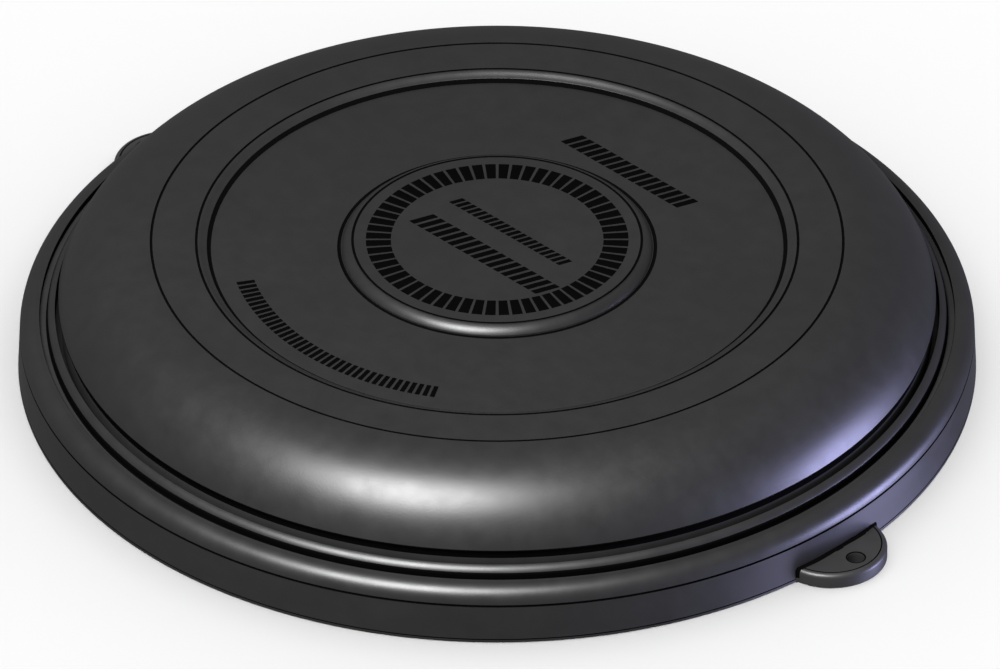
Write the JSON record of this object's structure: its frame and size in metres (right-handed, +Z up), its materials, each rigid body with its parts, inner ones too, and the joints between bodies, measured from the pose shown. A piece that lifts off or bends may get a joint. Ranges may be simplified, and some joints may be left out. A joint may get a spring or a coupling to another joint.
{
  "type": "manhole cover",
  "caption": "Round domed manhole cover with a recessed top, centre medallion, rubber rim that fits over the manhole neck, and two flexing pull tabs with hook holes.",
  "frame": {"origin": "centre of the skirt's bottom edge, on the cover's axis", "axes": "+Z up along the cover's axis, +X through the right pull tab, +Y across the tabs"},
  "size_m": [0.7434, 0.68, 0.1074],
  "materials": {
    "rim_rubber": "satin moulded black rubber",
    "cover_plastic": "satin moulded black plastic, fine grain",
    "inlay_plastic": "matt black inlay",
    "seal_rubber": "matt black sponge rubber",
    "frame_plastic": "moulded glass-filled plastic",
    "pan_steel": "black coated pressed steel",
    "spring_steel": "bright spring steel",
    "zinc_steel": "zinc plated",
    "magnet_ferrite": "sintered, dark grey"
  },
  "bodies": {
    "cover": {"rim_ring": "rim_rubber", "dome_shell": "cover_plastic", "flange_gasket": "seal_rubber", "retaining_ring": "cover_plastic", "medallion": "cover_plastic", "medallion_bars": "inlay_plastic", "medallion_clips": "spring_steel", "rib_frame": "frame_plastic", "base_pan": "pan_steel", "pan_screws": "zinc_steel", "hub_bolt": "zinc_steel", "hub_washers": "zinc_steel", "hub_nut": "zinc_steel", "magnet_carrier": "frame_plastic", "magnets": "magnet_ferrite", "keeper_ring": "pan_steel", "seat_seal": "seal_rubber", "clamp_screws": "zinc_steel", "tab_root_right": "rim_rubber", "tab_root_left": "rim_rubber"},
    "tab_right_body": {"tab_right": "rim_rubber"},
    "tab_left_body": {"tab_left": "rim_rubber"}
  },
  "joints": [
    {"name": "tab_right_flex", "type": "hinge", "parent": "cover", "child": "tab_right_body", "pos_m": [0.346, 0, 0.0109], "axis": [0, -1, 0], "range_deg": [-10, 50], "stiffness_Nm_per_rad": 2},
    {"name": "tab_left_flex", "type": "hinge", "parent": "cover", "child": "tab_left_body", "pos_m": [-0.346, 0, 0.0109], "axis": [0, 1, 0], "range_deg": [-10, 50], "stiffness_Nm_per_rad": 2}
  ]
}
